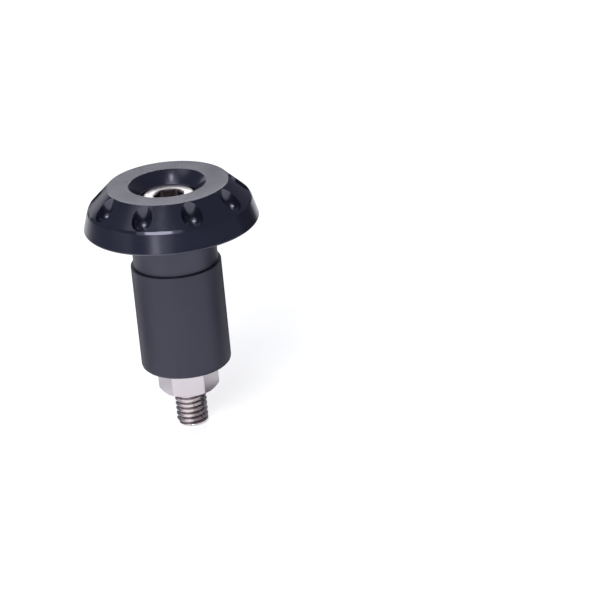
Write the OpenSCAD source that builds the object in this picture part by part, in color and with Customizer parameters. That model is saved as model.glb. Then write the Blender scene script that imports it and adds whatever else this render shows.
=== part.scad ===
// Motorcycle bar end weight: a turned mushroom head with a spigot, a rubber sleeve that a screw and nut squeeze
// so that it swells inside the handlebar, and the screw and nut themselves.
// +Z runs along the axis towards the face. z = 0 is the back of the head, which meets the end of the handlebar.

/* [Head] */
// Height of the face above the back of the head
head_h = 7.8; // [6.5:0.1:12]
// Widest diameter, at the lower edge of the rim band
head_d = 32.5; // [31:0.1:40]
// Diameter of the edge between the rim band and the cone
rim_d = 30.2; // [28:0.1:32]
// Height of that edge above the back
rim_h = 4.0; // [2.5:0.1:5]
// Outer diameter of the flat ring on the face
ring_d = 22.4; // [18:0.1:26]
// Width of the small bevels on the rim band's two edges
edge_bevel = 0.3; // [0.1:0.05:0.6]

/* [Dish and screw seat] */
// Diameter of the conical dish at the face
dish_d = 14.4; // [12.5:0.1:17]
// Depth of the dish, down to the mouth of the counterbore
dish_depth = 2.2; // [0.5:0.1:3.5]
// How far the top of the screw lies below the mouth of the counterbore
screw_sink = 0; // [0:0.1:1.5]

/* [Dimples] */
// Number of dimples round the cone
dimple_count = 9; // [3:1:12]
// Diameter of the round-nosed cutter that makes each dimple
dimple_d = 3.8; // [2:0.1:4.4]
// How far the middle of the cutter's nose lies below the middle of the cone
dimple_sink = 0.85; // [0:0.05:1.5]
// Turn of the first dimple from the +X axis, in degrees
dimple_turn = 9; // [0:1:40]

/* [Spigot] */
// Diameter of the spigot below the head
spigot_d = 15.7; // [14:0.1:17]
// Length of the spigot, down to the rubber
spigot_len = 7.7; // [5:0.1:20]

/* [Rubber sleeve] */
// Outer diameter of the sleeve, a little under the handlebar's bore
sleeve_d = 16.8; // [14:0.1:20]
// Length of the sleeve
sleeve_len = 20.4; // [10:0.1:40]
// Radius of the rounded edge at the nut's end
sleeve_round = 0.8; // [0.2:0.1:2]

/* [Screw and nut] */
// Thread diameter of the screw
thread_d = 6; // [4:0.5:7]
// Diameter of the screw's head
cap_d = 10; // [8.5:0.1:10.5]
// Height of the screw's head
cap_h = 6; // [4:0.1:8]
// Width across the flats of the hexagon socket
socket_af = 5; // [3:0.5:6]
// Depth of the hexagon socket's flats
socket_depth = 3; // [1:0.1:3.5]
// Chamfer at the top edge of the screw's head
cap_chamfer = 0.5; // [0.1:0.1:1]
// Width across the flats of the nut
nut_af = 10; // [9:0.1:12]
// How far the nut's corners are worn back from sharp ones
nut_corner_cut = 0.12; // [0.05:0.01:0.3]
// How far inside the flats the nut's chamfers begin on its two faces
nut_face_inset = 0.25; // [0.1:0.05:0.5]
// Height of the nut
nut_h = 5.2; // [3:0.1:8]
// Angle of the chamfers on the nut's two faces, in degrees
nut_chamfer_angle = 30; // [15:1:40]
// Width of the countersink at each end of the nut's thread
nut_sink = 0.4; // [0.1:0.1:0.8]
// Length of thread that stands out past the nut
thread_out = 7.1; // [1:0.1:20]
// Chamfer at the screw's end
end_chamfer = 0.6; // [0.2:0.1:1]

/* [Clearances] */
// Radial gap between the screw's head and the counterbore
cap_gap = 0.25; // [0.1:0.05:0.5]
// Radial gap between the screw and the hole through the spigot
shank_gap = 0.2; // [0.05:0.05:0.5]
// Radial gap between the screw and the sleeve's bore
sleeve_gap = 0.1; // [0.05:0.05:0.5]
// Radial gap between the screw's crests and the nut's thread
thread_gap = 0.03; // [0.02:0.01:0.1]

/* [Hidden] */
$fn = 96;
over = 1; // how far a cutter runs past the surface that it opens

shank_r = thread_d / 2 - thread_gap;
cap_r = cap_d / 2;
socket_tip_h = socket_af / 4; // height of the shallow cone that the drill leaves under the socket's flats
counterbore_r = cap_r + cap_gap;
hole_r = shank_r + shank_gap;
mouth_z = head_h - dish_depth;
cap_top_z = mouth_z - screw_sink;
seat_z = cap_top_z - cap_h;
spigot_end_z = -spigot_len;
sleeve_end_z = spigot_end_z - sleeve_len;
nut_end_z = sleeve_end_z - nut_h;
screw_end_z = nut_end_z - thread_out;

// The rim band's lower bevel ends at the back face, and its upper one straddles the edge to the cone
band_run = (head_d - rim_d) / 2;
band_len = norm([band_run, rim_h]);
cone_run = (rim_d - ring_d) / 2;
cone_rise = head_h - rim_h;
cone_len = norm([cone_run, cone_rise]);
band_low = [head_d / 2 - edge_bevel * band_run / band_len, edge_bevel * rim_h / band_len];
band_high = [rim_d / 2 + edge_bevel * band_run / band_len, rim_h - edge_bevel * rim_h / band_len];
cone_low = [rim_d / 2 - edge_bevel * cone_run / cone_len, rim_h + edge_bevel * cone_rise / cone_len];

// Half of the head's turned section, from the hole through the spigot round to the dish
head_section = [
    [hole_r, spigot_end_z],
    [spigot_d / 2, spigot_end_z],
    [spigot_d / 2, 0],
    [head_d / 2 - edge_bevel, 0],
    band_low,
    band_high,
    cone_low,
    [ring_d / 2, head_h],
    [dish_d / 2, head_h],
    [counterbore_r, mouth_z],
    [counterbore_r, seat_z],
    [hole_r, seat_z],
];

// A round-nosed cutter with the middle of its nose at the origin, standing up along +Z
module round_nose_cutter(d, h) {
    rotate_extrude() {
        intersection() {
            circle(d = d);
            translate([0, -d]) square([d, d]);
        }
        square([d / 2, h]);
    }
}

// The cutter stands straight up at the middle of the cone, and its nose is sunk below the cone there
module dimple() {
    nose_z = (head_h + rim_h) / 2 - dimple_sink;
    translate([(ring_d + rim_d) / 4, 0, nose_z]) round_nose_cutter(dimple_d, head_h - nose_z + over);
}

module head() {
    color("#23252f")
    difference() {
        rotate_extrude() polygon(head_section);
        for (i = [0 : dimple_count - 1]) rotate(dimple_turn + i * 360 / dimple_count) dimple();
    }
}

// The screw's hexagon socket, open at z = 0, with its drilled bottom below the flats
module hexagon_socket() {
    translate([0, 0, -socket_depth]) {
        cylinder(r = socket_af / sqrt(3), h = socket_depth + over, $fn = 6);
        translate([0, 0, -socket_tip_h]) cylinder(r1 = 0, r2 = socket_af / 2, h = socket_tip_h);
    }
}

module socket_screw() {
    color("#b9b2ac")
    difference() {
        rotate_extrude()
            polygon([
                [0, screw_end_z],
                [shank_r - end_chamfer, screw_end_z],
                [shank_r, screw_end_z + end_chamfer],
                [shank_r, seat_z],
                [cap_r, seat_z],
                [cap_r, cap_top_z - cap_chamfer],
                [cap_r - cap_chamfer, cap_top_z],
                [0, cap_top_z],
            ]);
        translate([0, 0, cap_top_z]) hexagon_socket();
    }
}

// The sleeve's section is a straight wall whose outer edge is rounded at the nut's end only
module rubber_sleeve() {
    bore_r = shank_r + sleeve_gap;
    wall = sleeve_d / 2 - bore_r;
    color("#45444e")
    translate([0, 0, sleeve_end_z])
        rotate_extrude()
            translate([bore_r, 0]) {
                translate([0, sleeve_round]) square([wall, sleeve_len - sleeve_round]);
                square([wall - sleeve_round, sleeve_round]);
                intersection() {
                    translate([wall - sleeve_round, sleeve_round]) circle(r = sleeve_round);
                    translate([wall - sleeve_round, 0]) square(sleeve_round);
                }
            }
}

// The double cone that takes the corners off both faces of the nut, and the bore with its two countersinks
module nut_section() {
    face_r = nut_af / 2 - nut_face_inset;
    corner_r = nut_af / sqrt(3) - nut_corner_cut;
    drop = (corner_r - face_r) * tan(nut_chamfer_angle);
    bore_r = shank_r + thread_gap;
    polygon([
        [bore_r + nut_sink, 0],
        [face_r, 0],
        [corner_r, drop],
        [corner_r, nut_h - drop],
        [face_r, nut_h],
        [bore_r + nut_sink, nut_h],
        [bore_r, nut_h - nut_sink],
        [bore_r, nut_sink],
    ]);
}

module hex_nut() {
    color("#d6d1d2")
    translate([0, 0, nut_end_z])
        intersection() {
            cylinder(r = nut_af / sqrt(3), h = nut_h, $fn = 6);
            rotate_extrude() nut_section();
        }
}

head();
socket_screw();
rubber_sleeve();
hex_nut();
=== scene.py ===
# Motorcycle bar end weight, dressed for the render: a turned and anodised head, a socket screw with its
# rolled thread, a moulded rubber sleeve and a plated nut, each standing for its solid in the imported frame.

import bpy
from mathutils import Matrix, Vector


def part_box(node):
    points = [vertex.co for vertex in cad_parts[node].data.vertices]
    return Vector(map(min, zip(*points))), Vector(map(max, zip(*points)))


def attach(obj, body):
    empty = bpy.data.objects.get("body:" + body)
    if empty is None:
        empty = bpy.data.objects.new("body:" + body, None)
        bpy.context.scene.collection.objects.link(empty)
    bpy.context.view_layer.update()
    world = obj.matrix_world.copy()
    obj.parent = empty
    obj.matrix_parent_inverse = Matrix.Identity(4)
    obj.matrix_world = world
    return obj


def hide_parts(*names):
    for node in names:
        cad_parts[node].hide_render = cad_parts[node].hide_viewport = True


bl_info = {
    "name": "Bar End Weight",
    "version": (1, 0, 0),
    "blender": (4, 5, 0),
    "location": "View3D > Sidebar > Bar End",
    "description": "Makes the finished pieces of a bar end weight around its packed frame",
    "category": "Object",
}

import math

import bmesh
import bpy
from bpy.props import FloatProperty, FloatVectorProperty, IntProperty, PointerProperty
from bpy.types import NodeSocket, Operator, Panel, PropertyGroup
from mathutils import Matrix, Vector

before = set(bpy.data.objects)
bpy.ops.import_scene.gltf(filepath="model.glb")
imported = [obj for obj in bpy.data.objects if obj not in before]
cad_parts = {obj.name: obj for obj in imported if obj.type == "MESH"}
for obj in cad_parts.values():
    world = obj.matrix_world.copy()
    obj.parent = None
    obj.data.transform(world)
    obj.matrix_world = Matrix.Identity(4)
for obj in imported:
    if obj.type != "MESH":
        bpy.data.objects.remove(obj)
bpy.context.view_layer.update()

MM = 0.001
TINY = 1e-7  # two points that are closer than this are one
ROOT = "root"
NOISE_RANGE = {"From Min": 0.3, "From Max": 0.7}  # nearly all values of a noise texture lie in here
HEAD_LOW, HEAD_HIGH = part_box("head")
SCREW_LOW, SCREW_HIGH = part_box("socket_screw")
SLEEVE_LOW, SLEEVE_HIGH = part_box("rubber_sleeve")
NUT_LOW, NUT_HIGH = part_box("hex_nut")


def hex_colour(code):
    """Turns an sRGB hex colour such as #23252f into linear red, green and blue."""
    parts = [int(code[i : i + 2], 16) / 255 for i in (1, 3, 5)]
    return tuple(c / 12.92 if c <= 0.04045 else ((c + 0.055) / 1.055) ** 2.4 for c in parts)


def length(name, description, millimetres):
    """A length that the panel shows in the scene's unit, given here in millimetres."""
    return FloatProperty(
        name=name, description=description, default=millimetres * MM, unit="LENGTH", precision=5
    )


def degrees(name, description, value):
    """An angle, given here in degrees."""
    return FloatProperty(name=name, description=description, default=math.radians(value), subtype="ANGLE")


def colour(name, description, code):
    """A colour that the panel shows as a swatch, given here as sRGB hex."""
    return FloatVectorProperty(
        name=name, description=description, default=hex_colour(code), subtype="COLOR", size=3, min=0, max=1
    )


class HeadSettings(PropertyGroup):
    """Sizes and colours of the turned head."""

    head_d: length("Head diameter", "Widest diameter, before the rim band's lower edge is bevelled", 32.5)
    rim_d: length("Rim diameter", "Diameter of the edge between the rim band and the cone", 30.2)
    rim_h: length("Rim height", "Height of that edge above the back of the head", 4.0)
    ring_d: length("Ring diameter", "Outer diameter of the flat ring on the face", 22.4)
    edge_bevel: length("Edge bevel", "Width of the bevels on the rim band's two edges", 0.3)
    edge_break: length("Edge break", "Rounding that polishing leaves on each turned edge", 0.07)
    dish_d: length("Dish diameter", "Diameter of the conical dish at the face", 14.4)
    dish_depth: length("Dish depth", "Depth of the dish, down to the counterbore", 2.2)
    cap_gap: length("Counterbore gap", "Radial gap between the screw's head and the counterbore", 0.25)
    shank_gap: length("Hole gap", "Radial gap between the screw and the hole through the spigot", 0.2)
    spigot_d: length("Spigot diameter", "Diameter of the spigot under the head", 15.7)
    dimple_count: IntProperty(
        name="Dimples", description="Number of dimples round the cone", default=9, min=3
    )
    dimple_d: length("Dimple cutter", "Diameter of the round-nosed cutter that makes each dimple", 3.8)
    dimple_sink: length("Dimple sink", "Depth of the cutter's nose under the middle of the cone", 0.85)
    dimple_turn: degrees("Dimple turn", "Turn of the first dimple from +X", 9)
    film: colour("Anodic film", "Colour of the dyed film under its own reflections", "#1f2130")
    sheen: colour("Film sheen", "Tint of the reflections in the film", "#e9e7ff")


class ScrewSettings(PropertyGroup):
    """Sizes and colours of the socket head cap screw."""

    pitch: length("Pitch", "Pitch of the thread", 1.0)
    thread_depth: length("Thread depth", "Depth of the rolled thread", 0.58)
    thread_length: length("Thread length", "Length of thread up from the end", 24.0)
    end_chamfer: length("End chamfer", "Chamfer at the screw's end", 0.6)
    shank_d: length("Shank diameter", "Diameter over the crests", 5.94)
    cap_h: length("Head height", "Height of the screw's head", 6.0)
    cap_chamfer: length("Head chamfer", "Chamfer at the head's top edge", 0.5)
    knurl_depth: length("Knurl depth", "Depth of the straight knurl", 0.14)
    knurl_count: IntProperty(
        name="Knurls", description="Number of ridges in the knurl", default=60, min=12
    )
    socket_af: length("Socket", "Width across the flats of the hexagon socket", 5.0)
    socket_depth: length("Socket depth", "Depth of the socket's flats", 3.0)
    steel: colour("Steel", "Colour of the bright steel", "#e9e2e2")
    # Painted shade: this colour darkens the thread's grooves and the inside of the socket, where shade falls.
    recess_shade: colour("Oil", "Colour of the steel under the oil in the thread and the socket", "#82777d")


class SleeveSettings(PropertyGroup):
    """Sizes and colours of the rubber sleeve."""

    bore_gap: length("Bore gap", "Radial gap between the screw and the sleeve's bore", 0.1)
    lower_round: length("Lower rounding", "Radius of the rounded edge at the nut's end", 0.8)
    upper_round: length("Upper rounding", "Radius of the moulded edge at the spigot's end", 0.15)
    rubber: colour("Rubber", "Colour of the rubber", "#31303d")
    sheen: colour("Rubber sheen", "Tint of the reflections on the rubber", "#e4e6fb")


class NutSettings(PropertyGroup):
    """Sizes and colour of the hexagon nut."""

    corner_cut: length("Corner cut", "How far the corners are worn back from sharp ones", 0.12)
    face_inset: length("Face inset", "How far inside the flats the chamfers begin", 0.25)
    bore_d: length("Bore", "Diameter of the nut's thread over the screw's crests", 6.0)
    sink: length("Countersink", "Width of the countersink at each end of the thread", 0.4)
    chamfer: degrees("Chamfer", "Angle of the chamfers on both faces", 30)
    plating: colour("Plating", "Colour of the bright plating", "#cfc8cd")


class StageSettings(PropertyGroup):
    """The view, the floor and the backdrop."""

    look_down: degrees("Look down", "Camera's angle below level", 23.13)
    roll: degrees("Roll", "Camera's roll", 5.28)
    distance: length("Distance", "From the camera to the origin along the camera's axis", 548.7)
    lens: FloatProperty(
        name="Lens", description="Focal length on a 36 mm sensor, in millimetres", default=179.4
    )
    floor_radius: length("Floor radius", "Where the floor has faded out into the backdrop", 400)
    paper: colour("Paper", "Colour of the matt white floor", "#f4f4f4")
    fill: colour("Fill", "Colour of the faint light from all round", "#dde0f5")


def outline(bm, points, closed=False):
    """Draws (radius, height) points in the XZ plane, joined in order, and gives back the points and their
    edges."""
    verts = [bm.verts.new((r, 0, z)) for r, z in points]
    ends = verts[1:] + verts[:1] if closed else verts[1:]
    return verts, [bm.edges.new(pair) for pair in zip(verts, ends)]


def round_off(bm, corner, width):
    """Rounds a corner of an outline off by a width."""
    bmesh.ops.bevel(
        bm,
        geom=[corner],
        offset=width,
        offset_type="OFFSET",
        segments=3,
        profile=0.5,
        affect="VERTICES",
        material=-1,
    )


def spin_round(bm, steps):
    """Spins an outline a full turn round Z, closes its seam and poles and turns its faces outwards."""
    bmesh.ops.spin(
        bm,
        geom=bm.verts[:] + bm.edges[:],
        cent=(0, 0, 0),
        axis=(0, 0, 1),
        angle=math.tau,
        steps=steps,
        use_merge=True,
    )
    bmesh.ops.remove_doubles(bm, verts=bm.verts, dist=TINY)
    bmesh.ops.recalc_face_normals(bm, faces=bm.faces)


def turned(bm, section, steps):
    """Spins a closed half section of (radius, height, rounding) corners a full turn round Z."""
    corners, _ = outline(bm, [(r, z) for r, z, _ in section], closed=True)
    for corner, (_, _, rounding) in zip(corners, section):
        if rounding:
            round_off(bm, corner, rounding)
    spin_round(bm, steps)


def verts_in(geom):
    """The vertices among mixed geometry."""
    return [v for v in geom if isinstance(v, bmesh.types.BMVert)]


def skinned(bm, steps, stations):
    """Draws a skin from ring to ring round Z and gives back the edges of its first ring. A station is a
    radius that follows the angle and a height that follows the radius."""
    verts = bmesh.ops.create_circle(bm, segments=steps, radius=1)["verts"]
    edges = first = list({e for v in verts for e in v.link_edges})
    for i, (radius_at, height_at) in enumerate(stations):
        if i:
            grown = bmesh.ops.extrude_edge_only(bm, edges=edges)["geom"]
            verts = verts_in(grown)
            edges = [e for e in grown if isinstance(e, bmesh.types.BMEdge)]
        for v in verts:
            angle = math.atan2(v.co.y, v.co.x)
            r = radius_at(angle)
            v.co = (r * math.cos(angle), r * math.sin(angle), height_at(r))
    return first


def circle(radius):
    """The radius of a circle, at any angle."""
    return lambda angle: radius


def level(height):
    """The same height at any radius."""
    return lambda radius: height


def hexagon(flat, corner=math.inf):
    """The radius of a hexagon with corners on X. Its flats lie at one radius, and its corners are cut at
    another."""
    sixth = math.tau / 6
    return lambda angle: min(corner, flat / math.cos(angle % sixth - sixth / 2))


def make_object(name, bm):
    """Moves a bmesh into a new object at the origin."""
    mesh = bpy.data.meshes.new(name)
    bm.to_mesh(mesh)
    bm.free()
    made = bpy.data.objects.new(name, mesh)
    bpy.context.scene.collection.objects.link(made)
    return made


def apply_modifiers(piece):
    """Bakes a piece's modifiers into its mesh."""
    bpy.context.view_layer.update()
    evaluated = piece.evaluated_get(bpy.context.evaluated_depsgraph_get())
    old, piece.data = piece.data, bpy.data.meshes.new_from_object(evaluated)
    piece.data.name = piece.name
    piece.modifiers.clear()
    bpy.data.meshes.remove(old)


def cut_out(piece, tool):
    """Cuts a closed tool out of a piece and throws the tool away."""
    step = piece.modifiers.new("Cut", "BOOLEAN")
    step.operation = "DIFFERENCE"
    step.solver = "EXACT"
    step.object = tool
    apply_modifiers(piece)
    bpy.data.objects.remove(tool)


def smooth(piece, crease):
    """Shades a piece smooth up to a crease angle in degrees, and lets the small faces of its edges follow the
    large ones."""
    piece.data.shade_smooth()
    piece.data.set_sharp_from_angle(angle=math.radians(crease))
    weighted = piece.modifiers.new("Weighted", "WEIGHTED_NORMAL")
    weighted.keep_sharp = True
    apply_modifiers(piece)


def dress(piece, node, material):
    """Gives a finished piece its material and its place in the frame."""
    piece.data.materials.clear()
    piece.data.materials.append(material)
    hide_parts(node)
    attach(piece, ROOT)


def add(tree, kind, feeds=None, **settings):
    """Adds a node with its settings. feeds gives each input its value, or the socket that it is linked to."""
    made = tree.nodes.new(kind)
    for name, value in settings.items():
        setattr(made, name, value)
    for name, value in (feeds or {}).items():
        if isinstance(value, NodeSocket):
            tree.links.new(value, made.inputs[name])
        else:
            made.inputs[name].default_value = value
    return made


def new_material(name):
    """An empty node material, its tree and its output node."""
    material = bpy.data.materials.new(name)
    material.use_nodes = True
    material.node_tree.nodes.clear()
    return material, material.node_tree, add(material.node_tree, "ShaderNodeOutputMaterial")


def turned_place(tree):
    """The place of a point on a turned piece, its radius round Z and its height."""
    place = add(tree, "ShaderNodeTexCoord").outputs["Object"]
    flat = add(tree, "ShaderNodeVectorMath", {0: place, 1: (1, 1, 0)}, operation="MULTIPLY")
    radius = add(tree, "ShaderNodeVectorMath", {0: flat.outputs["Vector"]}, operation="LENGTH")
    height = add(tree, "ShaderNodeSeparateXYZ", {"Vector": place})
    return place, radius.outputs["Value"], height.outputs["Z"]


def shaded(colour_value, factor=1):
    """A colour made darker or lighter, with its alpha."""
    return (*[min(1, c * factor) for c in colour_value], 1)


def anodised_aluminium(film, sheen, rim_z):
    """Black anodised aluminium, turned and lightly polished. The dyed oxide film is clear enough to mirror
    like dark glass, and the feed marks under it draw the reflections out into fine rings. The bevel at the
    rim is burnished and mirrors more sharply, and the spigot under the head is satin."""
    feed = 0.25 * MM  # true feed marks are about 0.05 mm apart, too fine to show, so these are drawn coarser
    feed_depth = 0.003 * MM
    haze = 6 * MM
    bevel_reach = 0.27 * MM
    burnish = -0.1
    spigot_z = -0.2 * MM
    spigot_dulling = 0.28
    material, tree, output = new_material("anodised aluminium, turned and dyed black")
    place, radius, height = turned_place(tree)
    along = add(tree, "ShaderNodeMath", {0: radius, 1: height}, operation="ADD").outputs["Value"]
    marks = add(
        tree, "ShaderNodeTexNoise", {"W": along, "Scale": 1 / feed, "Detail": 2.0}, noise_dimensions="1D"
    )
    cloud = add(tree, "ShaderNodeTexNoise", {"Vector": place, "Scale": 1 / haze, "Detail": 3.0})
    polish = add(
        tree,
        "ShaderNodeMapRange",
        {**NOISE_RANGE, "Value": cloud.outputs["Fac"], "To Min": 0.17, "To Max": 0.24},
    )
    dulling = add(
        tree,
        "ShaderNodeMapRange",
        {"Value": height, "From Min": 0.0, "From Max": spigot_z, "To Min": 0.0, "To Max": spigot_dulling},
    )
    rough = add(
        tree,
        "ShaderNodeMath",
        {0: polish.outputs["Result"], 1: dulling.outputs["Result"]},
        operation="ADD",
    )
    on_bevel = add(tree, "ShaderNodeMath", {0: height, 1: rim_z, 2: bevel_reach}, operation="COMPARE")
    rough = add(
        tree,
        "ShaderNodeMath",
        {0: on_bevel.outputs["Value"], 1: burnish, 2: rough.outputs["Value"]},
        operation="MULTIPLY_ADD",
    )
    tone = add(
        tree,
        "ShaderNodeMix",
        {"Factor": marks.outputs["Fac"], "A": shaded(film, 0.8), "B": shaded(film, 1.2)},
        data_type="RGBA",
    )
    bump = add(
        tree, "ShaderNodeBump", {"Height": marks.outputs["Fac"], "Strength": 0.25, "Distance": feed_depth}
    )
    shader = add(
        tree,
        "ShaderNodeBsdfPrincipled",
        {
            "Base Color": tone.outputs["Result"],
            "Metallic": 0.0,
            "IOR": 1.77,
            "Specular Tint": shaded(sheen),
            "Roughness": rough.outputs["Value"],
            "Normal": bump.outputs["Normal"],
        },
    )
    tree.links.new(shader.outputs["BSDF"], output.inputs["Surface"])
    return material


def bright_steel(steel, recess_shade, crest_r, groove_r):
    """Plain steel, cold headed and thread rolled. It is satin, with sharper reflections where the dies
    burnished the thread. The bottoms of the thread and the hexagon socket are darkened with painted shade."""
    grain = 0.4 * MM  # the true grain is finer than a pixel, so it is drawn coarser
    grain_depth = 0.001 * MM
    smear = 1.5 * MM
    groove_shade_end_r = 0.4 * groove_r + 0.6 * crest_r  # the painted shade in the thread's grooves fades out by here
    socket_shade_full_r, socket_shade_end_r = 2.7 * MM, 2.95 * MM  # and the painted shade in the socket fades from here out to its mouth
    burnish = -0.12
    material, tree, output = new_material("steel, cold headed and rolled")
    place, radius, height = turned_place(tree)
    smears = add(tree, "ShaderNodeTexNoise", {"Vector": place, "Scale": 1 / smear, "Detail": 4.0})
    fine = add(tree, "ShaderNodeTexNoise", {"Vector": place, "Scale": 1 / grain, "Detail": 3.0})
    tone = add(
        tree,
        "ShaderNodeMix",
        {"Factor": smears.outputs["Fac"], "A": shaded(steel, 0.95), "B": shaded(steel, 1.25)},
        data_type="RGBA",
    )
    # Painted shade: darkest at the thread's roots and inside the socket, fading out towards the crests and
    # the socket's mouth.
    depth = add(
        tree,
        "ShaderNodeMapRange",
        {"Value": radius, "From Min": groove_r, "From Max": groove_shade_end_r, "To Min": 1.0, "To Max": 0.0},
    )
    below = add(tree, "ShaderNodeMath", {0: height, 1: 0.0}, operation="LESS_THAN").outputs["Value"]
    groove = add(tree, "ShaderNodeMath", {0: depth.outputs["Result"], 1: below}, operation="MULTIPLY")
    socket = add(
        tree,
        "ShaderNodeMapRange",
        {"Value": radius, "From Min": socket_shade_full_r, "From Max": socket_shade_end_r, "To Min": 0.95, "To Max": 0.0},
    )
    above = add(tree, "ShaderNodeMath", {0: height, 1: 0.0}, operation="GREATER_THAN").outputs["Value"]
    recess_shade_mask = add(
        tree,
        "ShaderNodeMath",
        {0: socket.outputs["Result"], 1: above, 2: groove.outputs["Value"]},
        operation="MULTIPLY_ADD",
    )
    tone = add(
        tree,
        "ShaderNodeMix",
        {"Factor": recess_shade_mask.outputs["Value"], "A": tone.outputs["Result"], "B": shaded(recess_shade)},
        data_type="RGBA",
    )
    rough = add(
        tree,
        "ShaderNodeMapRange",
        {**NOISE_RANGE, "Value": fine.outputs["Fac"], "To Min": 0.3, "To Max": 0.38},
    )
    rough = add(
        tree,
        "ShaderNodeMath",
        {0: below, 1: burnish, 2: rough.outputs["Result"]},
        operation="MULTIPLY_ADD",
    )
    bump = add(
        tree, "ShaderNodeBump", {"Height": fine.outputs["Fac"], "Strength": 0.1, "Distance": grain_depth}
    )
    shader = add(
        tree,
        "ShaderNodeBsdfPrincipled",
        {
            "Base Color": tone.outputs["Result"],
            "Metallic": 1.0,
            "Roughness": rough.outputs["Value"],
            "Normal": bump.outputs["Normal"],
        },
    )
    tree.links.new(shader.outputs["BSDF"], output.inputs["Surface"])
    return material


def plated_steel(plating):
    """Bright nickel plating over a nut that was drawn and faced. It is nearly white and satin, with faint
    lines across the flats."""
    line = 0.22 * MM  # true drawing lines are too fine to show, so these are drawn coarser
    line_depth = 0.01 * MM
    haze = 3 * MM
    material, tree, output = new_material("steel, drawn and nickel plated")
    place = add(tree, "ShaderNodeTexCoord").outputs["Object"]
    height = add(tree, "ShaderNodeSeparateXYZ", {"Vector": place}).outputs["Z"]
    lines = add(
        tree, "ShaderNodeTexNoise", {"W": height, "Scale": 1 / line, "Detail": 3.0}, noise_dimensions="1D"
    )
    cloud = add(tree, "ShaderNodeTexNoise", {"Vector": place, "Scale": 1 / haze, "Detail": 1.0})
    tone = add(
        tree,
        "ShaderNodeMix",
        {"Factor": lines.outputs["Fac"], "A": shaded(plating, 0.9), "B": shaded(plating, 1.05)},
        data_type="RGBA",
    )
    rough = add(
        tree,
        "ShaderNodeMapRange",
        {"Value": cloud.outputs["Fac"], "From Min": 0.2, "From Max": 0.8, "To Min": 0.27, "To Max": 0.33},
    )
    bump = add(
        tree, "ShaderNodeBump", {"Height": lines.outputs["Fac"], "Strength": 0.1, "Distance": line_depth}
    )
    shader = add(
        tree,
        "ShaderNodeBsdfPrincipled",
        {
            "Base Color": tone.outputs["Result"],
            "Metallic": 1.0,
            "Roughness": rough.outputs["Result"],
            "Normal": bump.outputs["Normal"],
        },
    )
    tree.links.new(shader.outputs["BSDF"], output.inputs["Surface"])
    return material


def moulded_rubber(rubber, sheen):
    """Black nitrile rubber from a plain steel mould. It is satin to matt, with a fine grain and a faint bloom
    that lightens it in patches."""
    grain = 0.12 * MM
    grain_depth = 0.012 * MM
    bloom_size = 9 * MM
    material, tree, output = new_material("nitrile rubber, moulded")
    place = add(tree, "ShaderNodeTexCoord").outputs["Object"]
    bloom = add(tree, "ShaderNodeTexNoise", {"Vector": place, "Scale": 1 / bloom_size, "Detail": 4.0})
    fine = add(tree, "ShaderNodeTexNoise", {"Vector": place, "Scale": 1 / grain, "Detail": 2.0})
    tone = add(
        tree,
        "ShaderNodeMix",
        {"Factor": bloom.outputs["Fac"], "A": shaded(rubber, 0.85), "B": shaded(rubber, 1.2)},
        data_type="RGBA",
    )
    rough = add(
        tree,
        "ShaderNodeMapRange",
        {**NOISE_RANGE, "Value": bloom.outputs["Fac"], "To Min": 0.44, "To Max": 0.54},
    )
    bump = add(
        tree, "ShaderNodeBump", {"Height": fine.outputs["Fac"], "Strength": 0.4, "Distance": grain_depth}
    )
    shader = add(
        tree,
        "ShaderNodeBsdfPrincipled",
        {
            "Base Color": tone.outputs["Result"],
            "Metallic": 0.0,
            "Roughness": rough.outputs["Result"],
            "IOR": 1.5,
            "Specular Tint": shaded(sheen),
            "Normal": bump.outputs["Normal"],
        },
    )
    tree.links.new(shader.outputs["BSDF"], output.inputs["Surface"])
    return material


def matt_paper(paper, radius):
    """Matt white background paper, lit from below as on a light table and more so towards the camera, so
    that it stays white. It fades out into the backdrop towards its edge."""
    fibre = 1.2 * MM
    fibre_depth = 0.02 * MM
    bright_y, dim_y = -45 * MM, 0.0
    material, tree, output = new_material("background paper, matt white")
    place = add(tree, "ShaderNodeTexCoord").outputs["Object"]
    reach = add(tree, "ShaderNodeVectorMath", {0: place}, operation="LENGTH").outputs["Value"]
    fade = add(
        tree,
        "ShaderNodeMapRange",
        {"Value": reach, "From Min": 0.3 * radius, "From Max": 0.9 * radius, "To Min": 1.0, "To Max": 0.0},
        interpolation_type="SMOOTHSTEP",
    )
    ahead = add(tree, "ShaderNodeSeparateXYZ", {"Vector": place}).outputs["Y"]
    glow = add(
        tree,
        "ShaderNodeMapRange",
        {"Value": ahead, "From Min": bright_y, "From Max": dim_y, "To Min": 0.8, "To Max": 0.5},
    )
    grain = add(tree, "ShaderNodeTexNoise", {"Vector": place, "Scale": 1 / fibre, "Detail": 2.0})
    bump = add(
        tree, "ShaderNodeBump", {"Height": grain.outputs["Fac"], "Strength": 0.1, "Distance": fibre_depth}
    )
    shader = add(
        tree,
        "ShaderNodeBsdfPrincipled",
        {
            "Base Color": shaded(paper),
            "Roughness": 0.9,
            "Emission Color": (1, 1, 1, 1),
            "Emission Strength": glow.outputs["Result"],
            "Alpha": fade.outputs["Result"],
            "Normal": bump.outputs["Normal"],
        },
    )
    tree.links.new(shader.outputs["BSDF"], output.inputs["Surface"])
    return material


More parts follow.
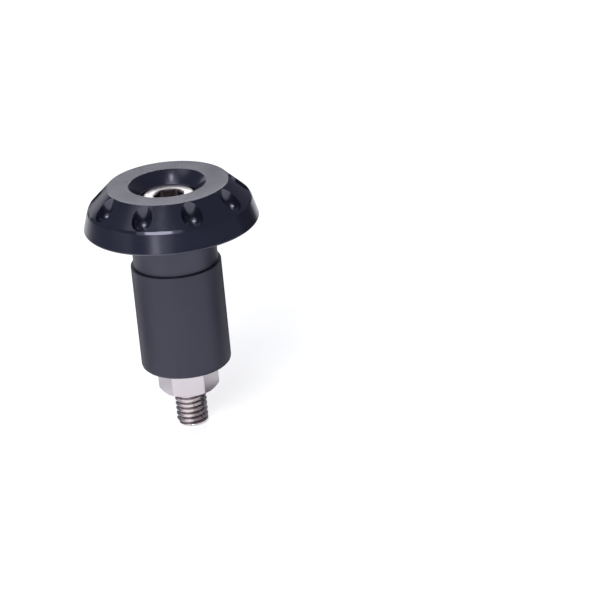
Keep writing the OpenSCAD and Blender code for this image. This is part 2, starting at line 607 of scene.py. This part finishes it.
def head_section(s, shank_r, cap_r, cap_h):
    """Half of the head's turned section, from the hole through the spigot round to the dish."""
    top, low = HEAD_HIGH.z, HEAD_LOW.z
    foot = Vector((s.head_d / 2, 0))
    rim = Vector((s.rim_d / 2, s.rim_h))
    face = Vector((s.ring_d / 2, top))
    up_band = (rim - foot).normalized() * s.edge_bevel
    up_cone = (face - rim).normalized() * s.edge_bevel
    hole_r = shank_r + s.shank_gap
    bore_r = cap_r + s.cap_gap
    mouth_z = top - s.dish_depth
    seat_z = SCREW_HIGH.z - cap_h
    edge = s.edge_break
    return [
        (hole_r, low, edge),
        (s.spigot_d / 2, low, 2 * edge),
        (s.spigot_d / 2, 0, 0),
        (foot.x - s.edge_bevel, 0, edge),
        (*(foot + up_band), edge),
        (*(rim - up_band), edge),
        (*(rim + up_cone), edge),
        (*face, edge),
        (s.dish_d / 2, top, edge),
        (bore_r, mouth_z, edge),
        (bore_r, seat_z, 0),
        (hole_r, seat_z, 0),
    ]


def dimple_cutters(s):
    """Round-nosed cutters that stand straight up at the middle of the cone, one for each dimple."""
    bm = bmesh.new()
    r = s.dimple_d / 2
    nose_z = (HEAD_HIGH.z + s.rim_h) / 2 - s.dimple_sink
    top_z = HEAD_HIGH.z - nose_z + r
    nose_step = 6  # degrees from point to point round the nose
    nose = [math.radians(a) for a in range(-90 + nose_step, 1, nose_step)]
    outline(bm, [(0, -r), *((r * math.cos(a), r * math.sin(a)) for a in nose), (r, top_z), (0, top_z)])
    spin_round(bm, steps=96)
    bmesh.ops.translate(bm, verts=bm.verts, vec=((s.ring_d + s.rim_d) / 4, 0, nose_z))
    first = bm.verts[:] + bm.edges[:] + bm.faces[:]
    bmesh.ops.rotate(bm, verts=bm.verts, matrix=Matrix.Rotation(s.dimple_turn, 3, "Z"))
    for i in range(1, s.dimple_count):
        copy = bmesh.ops.duplicate(bm, geom=first)["geom"]
        turn = Matrix.Rotation(i * math.tau / s.dimple_count, 3, "Z")
        bmesh.ops.rotate(bm, verts=verts_in(copy), matrix=turn)
    return make_object("dimple_cutters", bm)


class BAREND_OT_head(Operator):
    """Turns the head and cuts its dimples"""

    bl_idname = "barend.head"
    bl_label = "Head"
    bl_options = {"REGISTER", "UNDO"}

    def execute(self, context):
        s, screw = context.scene.bar_end_head, context.scene.bar_end_screw
        bm = bmesh.new()
        turned(bm, head_section(s, screw.shank_d / 2, SCREW_HIGH.x, screw.cap_h), steps=360)
        head = make_object("turned_head", bm)
        cut_out(head, dimple_cutters(s))
        smooth(head, crease=34)
        dress(head, "head", anodised_aluminium(s.film, s.sheen, s.rim_h))
        return {"FINISHED"}


def thread(bm, s):
    """Winds the right-hand thread up from the screw's end, closes the end and gives back the upper ring of
    edges."""
    crest, root = s.shank_d / 2, s.shank_d / 2 - s.thread_depth
    end_z = SCREW_LOW.z
    top_z = end_z + s.thread_length
    start_z = end_z - s.pitch
    per_turn = 72
    turns = math.ceil(s.thread_length / s.pitch) + 1
    crown = 0.035 * s.thread_depth  # how far the crest's rounded shoulders lie below it
    root_end, shoulder, crest_start = 0.08, 0.43, 0.47  # as parts of the pitch
    weld = 0.002 * MM
    rising = [(0, root), (root_end, root), (shoulder, crest - crown), (crest_start, crest)]
    falling = [(1 - part, r) for part, r in reversed(rising)]
    _, edges = outline(bm, [(r, start_z + part * s.pitch) for part, r in rising + falling])
    bmesh.ops.subdivide_edges(bm, edges=[edges[1], edges[-2]], cuts=4)
    bmesh.ops.spin(
        bm,
        geom=bm.verts[:] + bm.edges[:],
        cent=(0, 0, 0),
        axis=(0, 0, 1),
        dvec=(0, 0, s.pitch / per_turn),
        angle=math.tau,
        steps=per_turn,
    )
    first = bm.verts[:] + bm.edges[:] + bm.faces[:]
    for i in range(1, turns):
        copy = bmesh.ops.duplicate(bm, geom=first)["geom"]
        bmesh.ops.translate(bm, verts=verts_in(copy), vec=(0, 0, i * s.pitch))
    bmesh.ops.remove_doubles(bm, verts=bm.verts, dist=weld)
    for v in bm.verts:
        r = math.hypot(v.co.x, v.co.y)
        most = crest - s.end_chamfer + v.co.z - end_z
        least = root + v.co.z - (top_z - s.thread_depth)
        v.co.xy = v.co.xy * (max(min(r, most), min(least, crest)) / r)
    for height, side in ((end_z, -1), (top_z, 1)):
        geom = bm.verts[:] + bm.edges[:] + bm.faces[:]
        bmesh.ops.bisect_plane(
            bm, geom=geom, dist=TINY, plane_co=(0, 0, height), plane_no=(0, 0, side), clear_outer=True
        )
    open_edges = [e for e in bm.edges if e.is_boundary]
    upper = [e for e in open_edges if e.verts[0].co.z > top_z - TINY]
    bmesh.ops.holes_fill(bm, edges=[e for e in open_edges if e not in upper], sides=0)
    return upper


def shank_and_head(bm, s):
    """Draws the plain shank, the knurled head and the socket, and gives back the shank's lowest ring of
    edges."""
    crest, cap_r, top = s.shank_d / 2, SCREW_HIGH.x, SCREW_HIGH.z
    seat = top - s.cap_h
    edge = 0.15 * s.cap_chamfer  # how far the chamfer's edges and the socket's mouth are broken
    flat_r = s.socket_af / 2
    mouth_r = s.socket_af / math.sqrt(3) + edge
    floor_z = top - s.socket_depth
    lead_in = math.radians(30)
    steps_per_ridge = 4

    def knurl(angle):
        return cap_r - s.knurl_depth * (1 - math.cos(angle * s.knurl_count)) / 2

    def countersink(r):
        return top - (mouth_r - r) * math.tan(lead_in)

    stations = [
        (circle(crest), level(SCREW_LOW.z + s.thread_length + s.pitch)),
        (circle(crest), level(seat)),
        (circle(cap_r - 2 * s.knurl_depth), level(seat)),
        (knurl, level(seat + s.knurl_depth)),
        (knurl, level(top - s.cap_chamfer)),
        (circle(cap_r - s.cap_chamfer + edge), level(top - edge)),
        (circle(cap_r - s.cap_chamfer - edge), level(top)),
        (circle(mouth_r), level(top)),
        (hexagon(flat_r), countersink),
        (hexagon(flat_r), level(floor_z)),
        (circle(flat_r), level(floor_z)),
        (circle(TINY), level(floor_z - flat_r / 2)),
    ]
    return skinned(bm, steps_per_ridge * s.knurl_count, stations)


class BAREND_OT_screw(Operator):
    """Makes the screw's knurled head, hexagon socket and rolled thread"""

    bl_idname = "barend.screw"
    bl_label = "Socket screw"
    bl_options = {"REGISTER", "UNDO"}

    def execute(self, context):
        s = context.scene.bar_end_screw
        crest_r = s.shank_d / 2
        bm = bmesh.new()
        upper = thread(bm, s)
        bmesh.ops.bridge_loops(bm, edges=upper + shank_and_head(bm, s))
        bmesh.ops.remove_doubles(bm, verts=bm.verts, dist=2 * TINY)
        bmesh.ops.recalc_face_normals(bm, faces=bm.faces)
        screw = make_object("cap_screw", bm)
        smooth(screw, crease=28)
        dress(screw, "socket_screw", bright_steel(s.steel, s.recess_shade, crest_r, crest_r - s.thread_depth))
        return {"FINISHED"}


class BAREND_OT_sleeve(Operator):
    """Moulds the rubber sleeve with its rounded lower edge"""

    bl_idname = "barend.sleeve"
    bl_label = "Rubber sleeve"
    bl_options = {"REGISTER", "UNDO"}

    def execute(self, context):
        s = context.scene.bar_end_sleeve
        bore_r = context.scene.bar_end_screw.shank_d / 2 + s.bore_gap
        low, top, outer_r = SLEEVE_LOW.z, SLEEVE_HIGH.z, SLEEVE_HIGH.x
        bm = bmesh.new()
        section = [
            (bore_r, low, s.upper_round),
            (outer_r, low, s.lower_round),
            (outer_r, top, s.upper_round),
            (bore_r, top, s.upper_round),
        ]
        turned(bm, section, steps=180)
        sleeve = make_object("expander_sleeve", bm)
        smooth(sleeve, crease=34)
        dress(sleeve, "rubber_sleeve", moulded_rubber(s.rubber, s.sheen))
        return {"FINISHED"}


class BAREND_OT_nut(Operator):
    """Makes the hexagon nut with both faces chamfered"""

    bl_idname = "barend.nut"
    bl_label = "Hexagon nut"
    bl_options = {"REGISTER", "UNDO"}

    def execute(self, context):
        s = context.scene.bar_end_nut
        low, top, flat_r, bore_r = NUT_LOW.z, NUT_HIGH.z, NUT_HIGH.y, s.bore_d / 2
        corner_r = flat_r / math.cos(math.radians(30)) - s.corner_cut
        face_r = flat_r - s.face_inset
        side = hexagon(flat_r, corner_r)

        def drop(r):
            return (r - face_r) * math.tan(s.chamfer)

        bm = bmesh.new()
        stations = [
            (circle(bore_r), level(low + s.sink)),
            (circle(bore_r + s.sink), level(low)),
            (circle(face_r), level(low)),
            (side, lambda r: low + drop(r)),
            (side, lambda r: top - drop(r)),
            (circle(face_r), level(top)),
            (circle(bore_r + s.sink), level(top)),
            (circle(bore_r), level(top - s.sink)),
        ]
        skinned(bm, steps=192, stations=stations + stations[:1])
        bmesh.ops.remove_doubles(bm, verts=bm.verts, dist=TINY)
        bmesh.ops.recalc_face_normals(bm, faces=bm.faces)
        nut = make_object("plated_nut", bm)
        smooth(nut, crease=20)
        dress(nut, "hex_nut", plated_steel(s.plating))
        return {"FINISHED"}


# Each light's name, azimuth and elevation in degrees, width and height in metres, radiance and shape.
# Azimuth 0 is the camera's side and 90 its right.
SOFTBOXES = (
    ("key", -18, 35, 3.2, 3.2, 0.8, "ELLIPSE"),
    ("key_core", -19, 39, 1.8, 1.1, 5.2, "ELLIPSE"),
    ("low_strip", -21.5, 9, 0.5, 0.5, 1.7, "RECTANGLE"),
    ("high_strip", -21, 60.5, 0.36, 0.3, 9.5, "RECTANGLE"),
    ("left_fill", -70, 14, 1.8, 1.0, 0.35, "RECTANGLE"),
    ("top_left", -90, 65, 1.6, 1.6, 0.8, "ELLIPSE"),
    ("back_panel", 180, 30, 2.6, 0.75, 3.5, "RECTANGLE"),
    ("back_left", -155, 7, 1.8, 0.9, 0.65, "RECTANGLE"),
    ("overhead", 180, 55, 1.8, 1.0, 2.2, "RECTANGLE"),
)

# Each card's name, azimuth in degrees, distance from the axis, width and height in millimetres, colour, and
# whether it lies on the floor. The lying ones are painted shade: seen only in reflections, they stand in for
# the floor's shade round the stud and under the nut, and darken the thread and the nut's sides. The standing
# ones darken the reflections in the sleeve, the spigot and the head.
CARDS = (
    ("card_left_94", -94, 30, 17, 23, "#707078", False),
    ("card_right_94", 94, 30, 21, 23, "#1a1a1e", False),
    ("card_left_147", -147, 30, 17, 23, "#707078", False),
    ("card_right_147", 147, 30, 21, 23, "#707078", False),
    ("card_behind", 114, 75, 56, 48, "#3a3a40", False),
    ("card_under_right", 108, 13.5, 30, 15, "#1a1a1e", True),
    ("card_under_left", -118, 22, 22, 3, "#d0d0d8", True),
    ("card_stud_left", -88, 9.5, 8, 13, "#b8acb2", True),
    ("card_stud_front", 31, 9.5, 8, 13, "#b8acb2", True),
    ("card_stud_right", 62, 9.5, 8, 13, "#988c92", True),
)


def softbox(name, azimuth, elevation, width, height, radiance, shape):
    """An area light that faces the object. Its power follows from how bright it looks in a mirror."""
    distance = 3.0
    a, e = math.radians(azimuth), math.radians(elevation)
    away = Vector((math.sin(a) * math.cos(e), -math.cos(a) * math.cos(e), math.sin(e)))
    face = width * height * (math.pi / 4 if shape == "ELLIPSE" else 1)
    data = bpy.data.lights.new(name, "AREA")
    data.shape = shape
    data.size, data.size_y = width, height
    data.energy = radiance * math.pi * face
    light = bpy.data.objects.new(name, data)
    light.location = away * distance
    light.rotation_euler = away.to_track_quat("Z", "Y").to_euler()
    bpy.context.scene.collection.objects.link(light)


def card(name, azimuth, away, width, height, code, lying):
    """A matt card beside the object, standing on the floor or lying just above it. Only reflections see it,
    and it darkens them."""
    lift = 0.1 * MM
    bm = bmesh.new()
    bmesh.ops.create_grid(bm, x_segments=1, y_segments=1, size=MM / 2)
    bmesh.ops.scale(bm, verts=bm.verts, vec=(width, height, 1))
    if lying:
        bmesh.ops.translate(bm, verts=bm.verts, vec=(0, 0, lift))
    else:
        bmesh.ops.rotate(bm, verts=bm.verts, matrix=Matrix.Rotation(math.pi / 2, 3, "X"))
        bmesh.ops.translate(bm, verts=bm.verts, vec=(0, 0, height / 2 * MM))
    bmesh.ops.translate(bm, verts=bm.verts, vec=(0, -away * MM, SCREW_LOW.z))
    bmesh.ops.rotate(bm, verts=bm.verts, matrix=Matrix.Rotation(math.radians(azimuth), 3, "Z"))
    made = make_object(name, bm)
    material, tree, output = new_material("card, matt")
    shader = add(tree, "ShaderNodeBsdfDiffuse", {"Color": shaded(hex_colour(code))})
    tree.links.new(shader.outputs["BSDF"], output.inputs["Surface"])
    made.data.materials.append(material)
    made.visible_camera = False
    made.visible_diffuse = False
    made.visible_shadow = False


def backdrop(fill_colour):
    """A white backdrop behind the floor, which gives the object only a faint cool fill."""
    world = bpy.data.worlds.new("backdrop")
    bpy.context.scene.world = world
    world.use_nodes = True
    tree = world.node_tree
    tree.nodes.clear()
    fill = add(tree, "ShaderNodeBackground", {"Color": shaded(fill_colour), "Strength": 0.18})
    white = add(tree, "ShaderNodeBackground", {"Color": (1, 1, 1, 1), "Strength": 1.0})
    to_camera = add(tree, "ShaderNodeLightPath").outputs["Is Camera Ray"]
    mixed = add(
        tree,
        "ShaderNodeMixShader",
        {"Fac": to_camera, 1: fill.outputs["Background"], 2: white.outputs["Background"]},
    )
    output = add(tree, "ShaderNodeOutputWorld")
    tree.links.new(mixed.outputs["Shader"], output.inputs["Surface"])


def place_camera(s):
    """Sets the camera at the photograph's angle, roll and framing."""
    image_px = 600
    origin_px = Vector((171.6, 222.3))
    sensor_mm = 36
    data = bpy.data.cameras.new("camera")
    data.sensor_width = sensor_mm
    data.lens = s.lens
    focal_px = s.lens / sensor_mm * image_px
    tilt = Matrix.Rotation(math.pi / 2 - s.look_down, 3, "X")
    turn = tilt @ Matrix.Rotation(-s.roll, 3, "Z")
    aside = (origin_px.x - image_px / 2) * s.distance / focal_px
    above = (image_px / 2 - origin_px.y) * s.distance / focal_px
    camera = bpy.data.objects.new("camera", data)
    camera.matrix_world = Matrix.Translation(turn @ Vector((-aside, -above, s.distance))) @ turn.to_4x4()
    bpy.context.scene.collection.objects.link(camera)
    bpy.context.scene.camera = camera


class BAREND_OT_stage(Operator):
    """Lays the floor, sets the lights and cards and places the camera"""

    bl_idname = "barend.stage"
    bl_label = "Stage"
    bl_options = {"REGISTER", "UNDO"}

    def execute(self, context):
        s = context.scene.bar_end_stage
        bm = bmesh.new()
        bmesh.ops.create_circle(bm, cap_ends=True, segments=96, radius=s.floor_radius)
        bmesh.ops.translate(bm, verts=bm.verts, vec=(0, 0, SCREW_LOW.z))
        floor = make_object("floor", bm)
        floor.data.materials.append(matt_paper(s.paper, s.floor_radius))
        for row in SOFTBOXES:
            softbox(*row)
        for row in CARDS:
            card(*row)
        backdrop(s.fill)
        context.scene.view_settings.view_transform = "Standard"
        place_camera(s)
        return {"FINISHED"}


STEPS = (
    (BAREND_OT_head, HeadSettings, "bar_end_head"),
    (BAREND_OT_screw, ScrewSettings, "bar_end_screw"),
    (BAREND_OT_sleeve, SleeveSettings, "bar_end_sleeve"),
    (BAREND_OT_nut, NutSettings, "bar_end_nut"),
    (BAREND_OT_stage, StageSettings, "bar_end_stage"),
)


class BAREND_PT_panel(Panel):
    """Lists the pieces of the bar end weight and their sizes"""

    bl_idname = "BAREND_PT_panel"
    bl_label = "Bar End Weight"
    bl_space_type = "VIEW_3D"
    bl_region_type = "UI"
    bl_category = "Bar End"

    def draw(self, context):
        for operator, _, name in STEPS:
            box = self.layout.box()
            box.operator(operator.bl_idname)
            settings = getattr(context.scene, name)
            for setting in settings.bl_rna.properties.keys():
                if setting not in ("rna_type", "name"):
                    box.prop(settings, setting)


def register():
    """Registers each operator with its settings, and the panel."""
    for operator, settings, name in STEPS:
        bpy.utils.register_class(settings)
        setattr(bpy.types.Scene, name, PointerProperty(type=settings))
        bpy.utils.register_class(operator)
    bpy.utils.register_class(BAREND_PT_panel)


def unregister():
    """Takes them away again."""
    bpy.utils.unregister_class(BAREND_PT_panel)
    for operator, settings, name in reversed(STEPS):
        bpy.utils.unregister_class(operator)
        delattr(bpy.types.Scene, name)
        bpy.utils.unregister_class(settings)


def main():
    """Makes every piece and the stage."""
    register()
    bpy.ops.barend.head()
    bpy.ops.barend.screw()
    bpy.ops.barend.sleeve()
    bpy.ops.barend.nut()
    bpy.ops.barend.stage()


if __name__ == "__main__":
    main()
